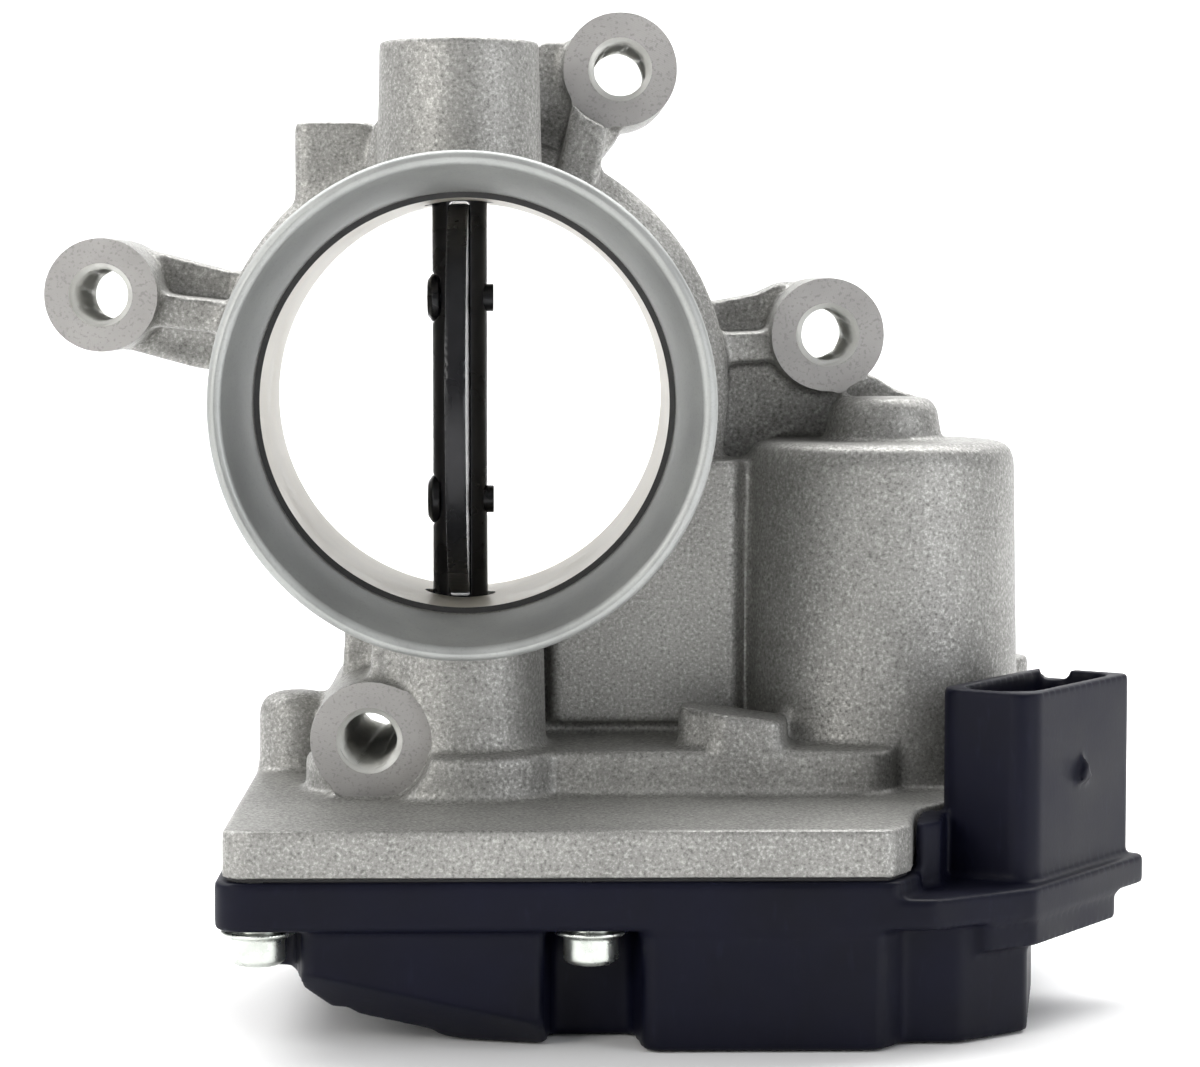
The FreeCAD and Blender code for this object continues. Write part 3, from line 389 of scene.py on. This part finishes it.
def machined_aluminium(name, base, rough, pitch_mm, depth, metallic=0.7, speck=0.5):
    """Turned metal: fine rings about the bore axis, with faint streaks."""
    n = Nodes(name)
    split = n.add("ShaderNodeSeparateXYZ")
    n.link(n.place, split.inputs["Vector"])
    squares = n.math("ADD", n.math("POWER", split.outputs["X"], 2.0),
                     n.math("POWER", split.outputs["Z"], 2.0))
    radius = n.math("SQRT", squares)
    along = n.math("ADD", radius, split.outputs["Y"])
    rings = n.math("SINE", n.math("MULTIPLY", along, 2 * math.pi / (pitch_mm * MM)))
    wobble = n.noise(900, 3.0, 0.6)
    height = n.math("ADD", n.math("MULTIPLY", rings, 0.5), wobble)
    clouds = n.noise(90, 3.0, 0.6)
    dull = n.ramp(clouds, [(0.32, shade(base, 0.84)), (0.68, shade(base, 1.06))])
    specks = n.span(n.noise(2600, 1.0, 0.5), 0.56, 0.70, 0.0, speck)
    colour = n.mix(specks, dull, shade(base, 0.6))
    finish = n.span(clouds, 0.3, 0.7, rough - 0.05, rough + 0.07)
    return n.finish(colour, finish, n.bump(height, depth), metallic=metallic)


def black_plastic():
    """Glass-filled plastic: blue-black with a fine, slightly mottled skin."""
    n = Nodes("black_plastic")
    grain = n.noise(1800, 3.0, 0.6)
    clouds = n.noise(60, 3.0, 0.6)
    colour = n.ramp(clouds, [(0.3, (0.0012, 0.0014, 0.006)), (0.7, (0.003, 0.0034, 0.012))])
    fibres = n.span(n.noise(900, 2.0, 0.5, stretch=(1.0, 1.0, 0.25)), 0.62, 0.78, 0.0, 0.25)
    colour = n.mix(fibres, colour, (0.012, 0.013, 0.030))
    rough = n.span(clouds, 0.3, 0.7, 0.42, 0.54)
    return n.finish(colour, rough, n.bump(grain, 0.012), specular=0.15)


def coated_steel():
    """Black coated shaft steel with faint drawing lines."""
    n = Nodes("black_steel")
    lines = n.noise(1500, 2.0, 0.5, stretch=(1.0, 1.0, 0.05))
    clouds = n.noise(120, 3.0, 0.6)
    colour = n.ramp(clouds, [(0.3, (0.006, 0.006, 0.007)), (0.7, (0.014, 0.014, 0.016))])
    rough = n.span(clouds, 0.3, 0.7, 0.22, 0.38)
    return n.finish(colour, rough, n.bump(lines, 0.006), metallic=0.3, specular=0.4)


def plated_steel():
    """Zinc plate: silvery with a greenish cast and small dull spots."""
    n = Nodes("zinc_steel")
    clouds = n.noise(500, 3.0, 0.6)
    colour = n.ramp(clouds, [(0.3, (0.50, 0.53, 0.49)), (0.7, (0.78, 0.81, 0.76))])
    rough = n.span(clouds, 0.3, 0.7, 0.22, 0.36)
    return n.finish(colour, rough, n.bump(n.noise(1600, 2.0), 0.01), metallic=0.95)


def plain(name, colour, metallic, rough, scale=600, depth=0.01, spread=0.18):
    """A simple finish with its own mottling and fine bump."""
    n = Nodes(name)
    clouds = n.noise(scale, 3.0, 0.6)
    tint = n.ramp(clouds, [(0.3, shade(colour, 1 - spread)), (0.7, shade(colour, 1 + spread))])
    finish = n.span(clouds, 0.3, 0.7, max(0.05, rough - 0.06), rough + 0.06)
    return n.finish(tint, finish, n.bump(n.noise(3 * scale, 2.0), depth), metallic=metallic)


CAST = cast_aluminium()
RING = machined_aluminium("turned_ring", (0.36, 0.37, 0.36), 0.46, 0.35, 0.003, 0.55, 0.2)
BORE = machined_aluminium("bore_wall", (0.53, 0.50, 0.43), 0.42, 0.30, 0.002, 0.35, 0.1)
FACE = machined_aluminium("milled_face", (0.37, 0.36, 0.35), 0.55, 0.25, 0.006, 0.35, 0.6)
# Tapped threads: light machined tone, lifted further as painted light that stands for light inside the holes.
THREAD_WITH_PAINTED_LIGHT = machined_aluminium("tapped_thread_painted_light", (0.72, 0.72, 0.69), 0.36, 0.40, 0.002, 0.4, 0.1)
# Painted shadow: a near-black finish that stands for the shade line at the throat step.
PAINTED_SHADOW_LINE = plain("throat_painted_shadow_line", (0.012, 0.012, 0.012), 0.0, 0.7)
PLASTIC = black_plastic()
BLACK = coated_steel()
ZINC = plated_steel()
RUBBER = plain("seal_rubber", (0.02, 0.02, 0.021), 0.0, 0.62)
BEARING = plain("bearing_steel", (0.62, 0.62, 0.63), 1.0, 0.18, depth=0.004)
SPRING = plain("spring_steel", (0.34, 0.35, 0.37), 1.0, 0.3)
FERRITE = plain("ferrite", (0.06, 0.06, 0.065), 0.1, 0.6)
BRONZE = plain("bronze", (0.50, 0.33, 0.15), 1.0, 0.4)
CARBON = plain("carbon", (0.03, 0.03, 0.03), 0.1, 0.55)
BRASS = plain("contact_brass", (0.72, 0.56, 0.28), 1.0, 0.25)
GOLD = plain("gold_contact", (0.90, 0.66, 0.28), 1.0, 0.2)
BOARD = plain("board_green", (0.03, 0.16, 0.06), 0.0, 0.35)
NATURAL = plain("natural_plastic", (0.72, 0.68, 0.56), 0.0, 0.42, scale=300)
LAMINATION = plain("lamination_steel", (0.25, 0.25, 0.26), 0.9, 0.5)
COPPER = plain("copper_wire", (0.62, 0.28, 0.13), 1.0, 0.32)

BY_SLOT = {
    "cast_aluminium": CAST, "black_steel": BLACK, "bearing_steel": BEARING,
    "seal_rubber": RUBBER, "zinc_steel": ZINC, "spring_steel": SPRING, "ferrite": FERRITE,
    "bronze": BRONZE, "black_plastic": PLASTIC, "carbon": CARBON, "contact_brass": BRASS,
    "gold_contact": GOLD, "board_green": BOARD, "natural_plastic": NATURAL,
    "lamination_steel": LAMINATION, "copper_wire": COPPER,
}


def dress_nodes():
    """Every CAD node gets its own procedural finish."""
    for part in frame["record"]["subparts"]:
        obj = frame["nodes"][part["node"]]
        obj.data.materials.clear()
        obj.data.materials.append(BY_SLOT[part["material_slot"]])


# ---- housing --------------------------------------------------------------------------
def inlet_trim():
    """Everything outside the turned inlet ring, in front of its shoulder."""
    outer, front = 41.0, INLET_Y - 6
    lip = arc((INLET_R - LIP_R, INLET_Y + LIP_R), LIP_R, 0, -90)
    profile = [(outer, front), (outer, SHOULDER_Y), (INLET_R, SHOULDER_Y)] + lip
    profile += [(INLET_R - 1.4, INLET_Y), (0.0, INLET_Y), (0.0, front)]
    return lathe("inlet_trim", profile, (0, 0, 0), "y", 256)


def passage_cutter():
    """Air passage: rounded lip, funnel, throat step, bore, cast widening, outlet."""
    front, behind = INLET_Y - 3, 3.0
    lip = arc((FUNNEL_R + LIP_R, INLET_Y + 1.1), LIP_R, -90, -180, 6)
    profile = [(0.0, front), (FUNNEL_R + LIP_R, front)] + lip
    profile += [(FUNNEL_R - 0.45, INLET_Y + 2.2), (BORE_R + 2.1, THROAT_Y - 8.0),
                (BORE_R + 1.2, THROAT_Y - 4.5), (BORE_R + 0.75, THROAT_Y - 1.5),
                (BORE_R + 0.7, THROAT_Y), (BORE_R, THROAT_Y + 0.25), (BORE_R, CAST_BORE_Y),
                (BORE_R + 0.8, CAST_BORE_Y + 1), (OUTLET_R, -OUTLET_LENGTH),
                (OUTLET_R, behind), (0.0, behind)]
    return lathe("passage", profile, (0, 0, 0), "y", 256)


def thread_cutter(x, z, front):
    """Tapped hole: a helical thread with a chamfer at both mouths."""
    around, per_pitch = 48, 8
    flank, crest = 1.25, 0.1      # slope of the thread's sides and flat of its crest
    low, high = front - 1.0, 1.0
    count = int((high - low) / THREAD_PITCH * per_pitch)
    verts, faces = [], []
    for row in range(count + 1):
        y = low + (high - low) * row / count
        for i in range(around):
            share = i / around
            phase = (y / THREAD_PITCH - share) % 1.0
            ridge = min(1.0, max(0.0, flank * (1 - abs(2 * phase - 1)) - crest))
            radius = THREAD_MINOR_R + (THREAD_MAJOR_R - THREAD_MINOR_R) * ridge
            inside = min(y - front, -y)
            radius = max(radius, THREAD_MINOR_R + LUG_CHAMFER - max(0.0, inside))
            turn = 2 * math.pi * share
            verts.append((x + radius * math.cos(turn), y, z + radius * math.sin(turn)))
    for row in range(count):
        for i in range(around):
            j = (i + 1) % around
            a, b = row * around, (row + 1) * around
            faces.append((a + i, a + j, b + j, b + i))
    faces.append(tuple(range(around)))
    faces.append(tuple(range(count * around, (count + 1) * around)))
    return outward(mesh_from("thread", verts, faces))


def housing_stock():
    """Solid fillings that the machining cuts back: ring, bore and lug ends."""
    bore_fill = BORE_R + 1.6
    ring = [(0, INLET_Y - STOCK), (INLET_R + STOCK, INLET_Y - STOCK),
            (INLET_R + STOCK, SHOULDER_Y - 0.4), (bore_fill, THROAT_Y + 1.0),
            (bore_fill, -OUTLET_LENGTH - 1.0), (OUTLET_R + STOCK, -OUTLET_LENGTH),
            (OUTLET_R + STOCK, -0.6), (0, -0.6)]
    fills = [lathe("stock", ring, (0, 0, 0), "y")]
    for x, z, front in LUGS:
        profile = [(0, front - 0.9), (LUG_R, front - 0.9), (LUG_R, -0.3), (0, -0.3)]
        fills.append(lathe("lug_stock", profile, (x, 0, z), "y", 96))
    return fills


def housing_softness(points):
    """The rear and joint faces keep their edges, and the cast skin is rounded."""
    y, z = points[:, 1], points[:, 2]
    weight = np.ones(len(points))
    weight[(y > -0.8) | (z < JOINT_Z + 0.9)] = 0.0
    return weight


def shaft_holes():
    """Shaft bore through both walls of the passage, flared where it enters."""
    deep, shallow, end = BORE_R + 1.3, BORE_R - 0.2, 30
    profile = [(0, -end), (SHAFT_HOLE_R, -end), (SHAFT_HOLE_R, -deep),
               (SHAFT_FLARE_R, -shallow), (SHAFT_FLARE_R, 0), (SHAFT_FLARE_R, shallow),
               (SHAFT_HOLE_R, deep), (SHAFT_HOLE_R, end), (0, end)]
    return lathe("shaft_hole", profile, (SHAFT_X, SHAFT_Y, 0), "z", 64)


def housing_material_faces(mesh):
    """Gives machined faces their own finish by where they lie, and paints the throat step near-black as a painted
    shadow line.
    """
    count = len(mesh.polygons)
    centre = np.empty(count * 3, np.float32)
    normal = np.empty(count * 3, np.float32)
    mesh.polygons.foreach_get("center", centre)
    mesh.polygons.foreach_get("normal", normal)
    centre = centre.reshape(-1, 3) / MM
    normal = normal.reshape(-1, 3)
    x, y, z = centre.T
    radius = np.hypot(x, z)
    finishes = (CAST, RING, BORE, FACE, THREAD_WITH_PAINTED_LIGHT, PAINTED_SHADOW_LINE)
    skin, ring, bore, face, thread, painted_shadow = range(len(finishes))
    seal_r = 34.0
    slot = np.full(count, skin, np.int32)
    slot[(radius < INLET_R + 0.15) & (y < SHOULDER_Y + 0.1)] = ring
    slot[(radius < BORE_R + 0.12) & (y > THROAT_Y) & (y < CAST_BORE_Y)] = bore
    # Painted shadow line: the faces of the throat step take the near-black finish.
    slot[(radius < BORE_R + 0.74) & (np.abs(y - THROAT_Y) < 0.2)] = painted_shadow
    slot[(radius > OUTLET_R - 0.1) & (radius < seal_r) & (y > -0.1)] = face
    slot[(z < JOINT_Z + 0.05) & (normal[:, 2] < -0.9)] = face
    for lug_x, lug_z, front in LUGS:
        away = np.hypot(x - lug_x, z - lug_z)
        end = (np.abs(y - front) < 0.05) | (y > -0.05)
        slot[(away < LUG_R + 0.3) & end & (np.abs(normal[:, 1]) > 0.9)] = face
        # Thread faces take the machined tone lifted as painted light inside the hole.
        slot[(away < THREAD_MAJOR_R + 0.5) & (y > front + 0.01)] = thread
    mesh.materials.clear()
    for material in finishes:
        mesh.materials.append(material)
    mesh.polygons.foreach_set("material_index", slot)


def build_housing():
    obj = merged("housing_piece", [node_copy("housing"), *housing_stock()])
    remeshed(obj, 0.5)
    smoothed(obj, 14, housing_softness)
    cutters = [inlet_trim(), passage_cutter(), shaft_holes(),
               box_mesh("behind", (-90, 110), (0, 9), (-90, 90))]
    for x, z, front in LUGS:
        reach = LUG_R + 0.35
        face = [(0, front - 1.3), (reach, front - 1.3), (reach, front), (0, front)]
        cutters.append(lathe("lug_face", face, (x, 0, z), "y", 64))
        cutters.append(thread_cutter(x, z, front))
    cut(obj, cutters)
    housing_material_faces(obj.data)
    crisp(obj, 34)
    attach(obj, "housing")
    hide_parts("housing")


# ---- the other pieces that show ---------------------------------------------------------
def build_pieces():
    softened_node("gearbox_cover", 0.45, 4, PLASTIC, "housing")
    softened_node("throttle_shaft", 0.22, 2, BLACK, "throttle", 40)
    softened_node("throttle_plate", 0.25, 2, BLACK, "throttle", 40)
    softened_node("plate_screws", 0.12, 2, BLACK, "throttle", 50)
    softened_node("cover_screws", 0.16, 2, ZINC, "housing", 50)


def floor_paint():
    n = Nodes("floor_white")
    tint = n.ramp(n.noise(12, 2.0), [(0.3, (0.92, 0.92, 0.92)), (0.7, (0.95, 0.95, 0.95))])
    return n.finish(tint, 0.9, specular=0.1)


# ---- floor, light, camera -----------------------------------------------------------------
def pale_floor():
    """A floor that sweeps up into a wall, far enough for a camera behind the object."""
    low = CAD_BOX[0].z / MM - 0.2
    reach, wall, bend = 4900, 1470, 560
    curve = [(-reach, low), (wall - bend, low)]
    curve += arc((wall - bend, low + bend), bend, -90, 0, 24)[1:]
    curve += [(wall, low + reach)]
    verts = [(x, y, z) for x in (-reach, reach) for y, z in curve]
    count = len(curve)
    faces = [(i, i + 1, i + 1 + count, i + count) for i in range(count - 1)]
    floor = new_object("floor", mesh_from("floor", verts, faces))
    floor.data.shade_smooth()
    floor.data.materials.append(floor_paint())


def area_light(name, place, target, size, power, colour=(1, 1, 1)):
    data = bpy.data.lights.new(name, "AREA")
    data.shape = "RECTANGLE"
    data.size, data.size_y = size[0] * MM, size[1] * MM
    data.energy = power
    data.color = colour
    lamp = new_object(name, data)
    lamp.location = Vector(place) * MM
    aim = (Vector(target) - Vector(place)).to_track_quat("-Z", "Y")
    lamp.rotation_mode = "QUATERNION"
    lamp.rotation_quaternion = aim


def studio():
    """Sky that brightens upward, two soft lamps in front, one at the side, one behind."""
    world = bpy.data.worlds.new("studio")
    bpy.context.scene.world = world
    world.use_nodes = True
    tree = world.node_tree
    sky = tree.nodes["Background"]
    place = tree.nodes.new("ShaderNodeTexCoord")
    split = tree.nodes.new("ShaderNodeSeparateXYZ")
    ramp = tree.nodes.new("ShaderNodeValToRGB")
    stops = ((0.30, (0.16, 0.16, 0.17, 1.0)), (0.95, (0.75, 0.75, 0.76, 1.0)))
    for element, (position, colour) in zip(ramp.color_ramp.elements, stops):
        element.position = position
        element.color = colour
    lift = tree.nodes.new("ShaderNodeMapRange")
    lift.inputs["From Min"].default_value = -1.0
    tree.links.new(place.outputs["Generated"], split.inputs["Vector"])
    tree.links.new(split.outputs["Z"], lift.inputs["Value"])
    tree.links.new(lift.outputs["Result"], ramp.inputs["Fac"])
    tree.links.new(ramp.outputs["Color"], sky.inputs["Color"])
    sky.inputs["Strength"].default_value = 0.72
    area_light("key", (-360, -460, 170), (10, -40, -10), (260, 260), 1.35, (1.0, 0.985, 0.95))
    area_light("fill", (460, -400, 90), (50, -30, -20), (160, 360), 0.95, (0.95, 0.97, 1.0))
    area_light("rim", (-420, -60, 260), (0, -20, 0), (300, 300), 0.5)
    area_light("back", (0, 1470, 2450), (0, 1470, 0), (5600, 1750), 318.0)
    bpy.context.scene.view_settings.view_transform = "Standard"


def camera():
    """Long lens in front of the bore, a little right and above, aimed slightly down."""
    data = bpy.data.cameras.new("camera")
    data.sensor_width = 36.0
    data.lens = 105.0
    data.clip_start, data.clip_end = 0.01, 20.0
    made = new_object("camera", data)
    made.location = Vector((9.3, -484.0, 14.4)) * MM
    pitch, yaw = math.atan(0.071), math.atan(0.016857)
    made.rotation_euler = (math.pi / 2 - pitch, 0.0, -yaw)
    bpy.context.scene.camera = made


def main():
    dress_nodes()
    build_housing()
    build_pieces()
    pale_floor()
    studio()
    camera()


main()
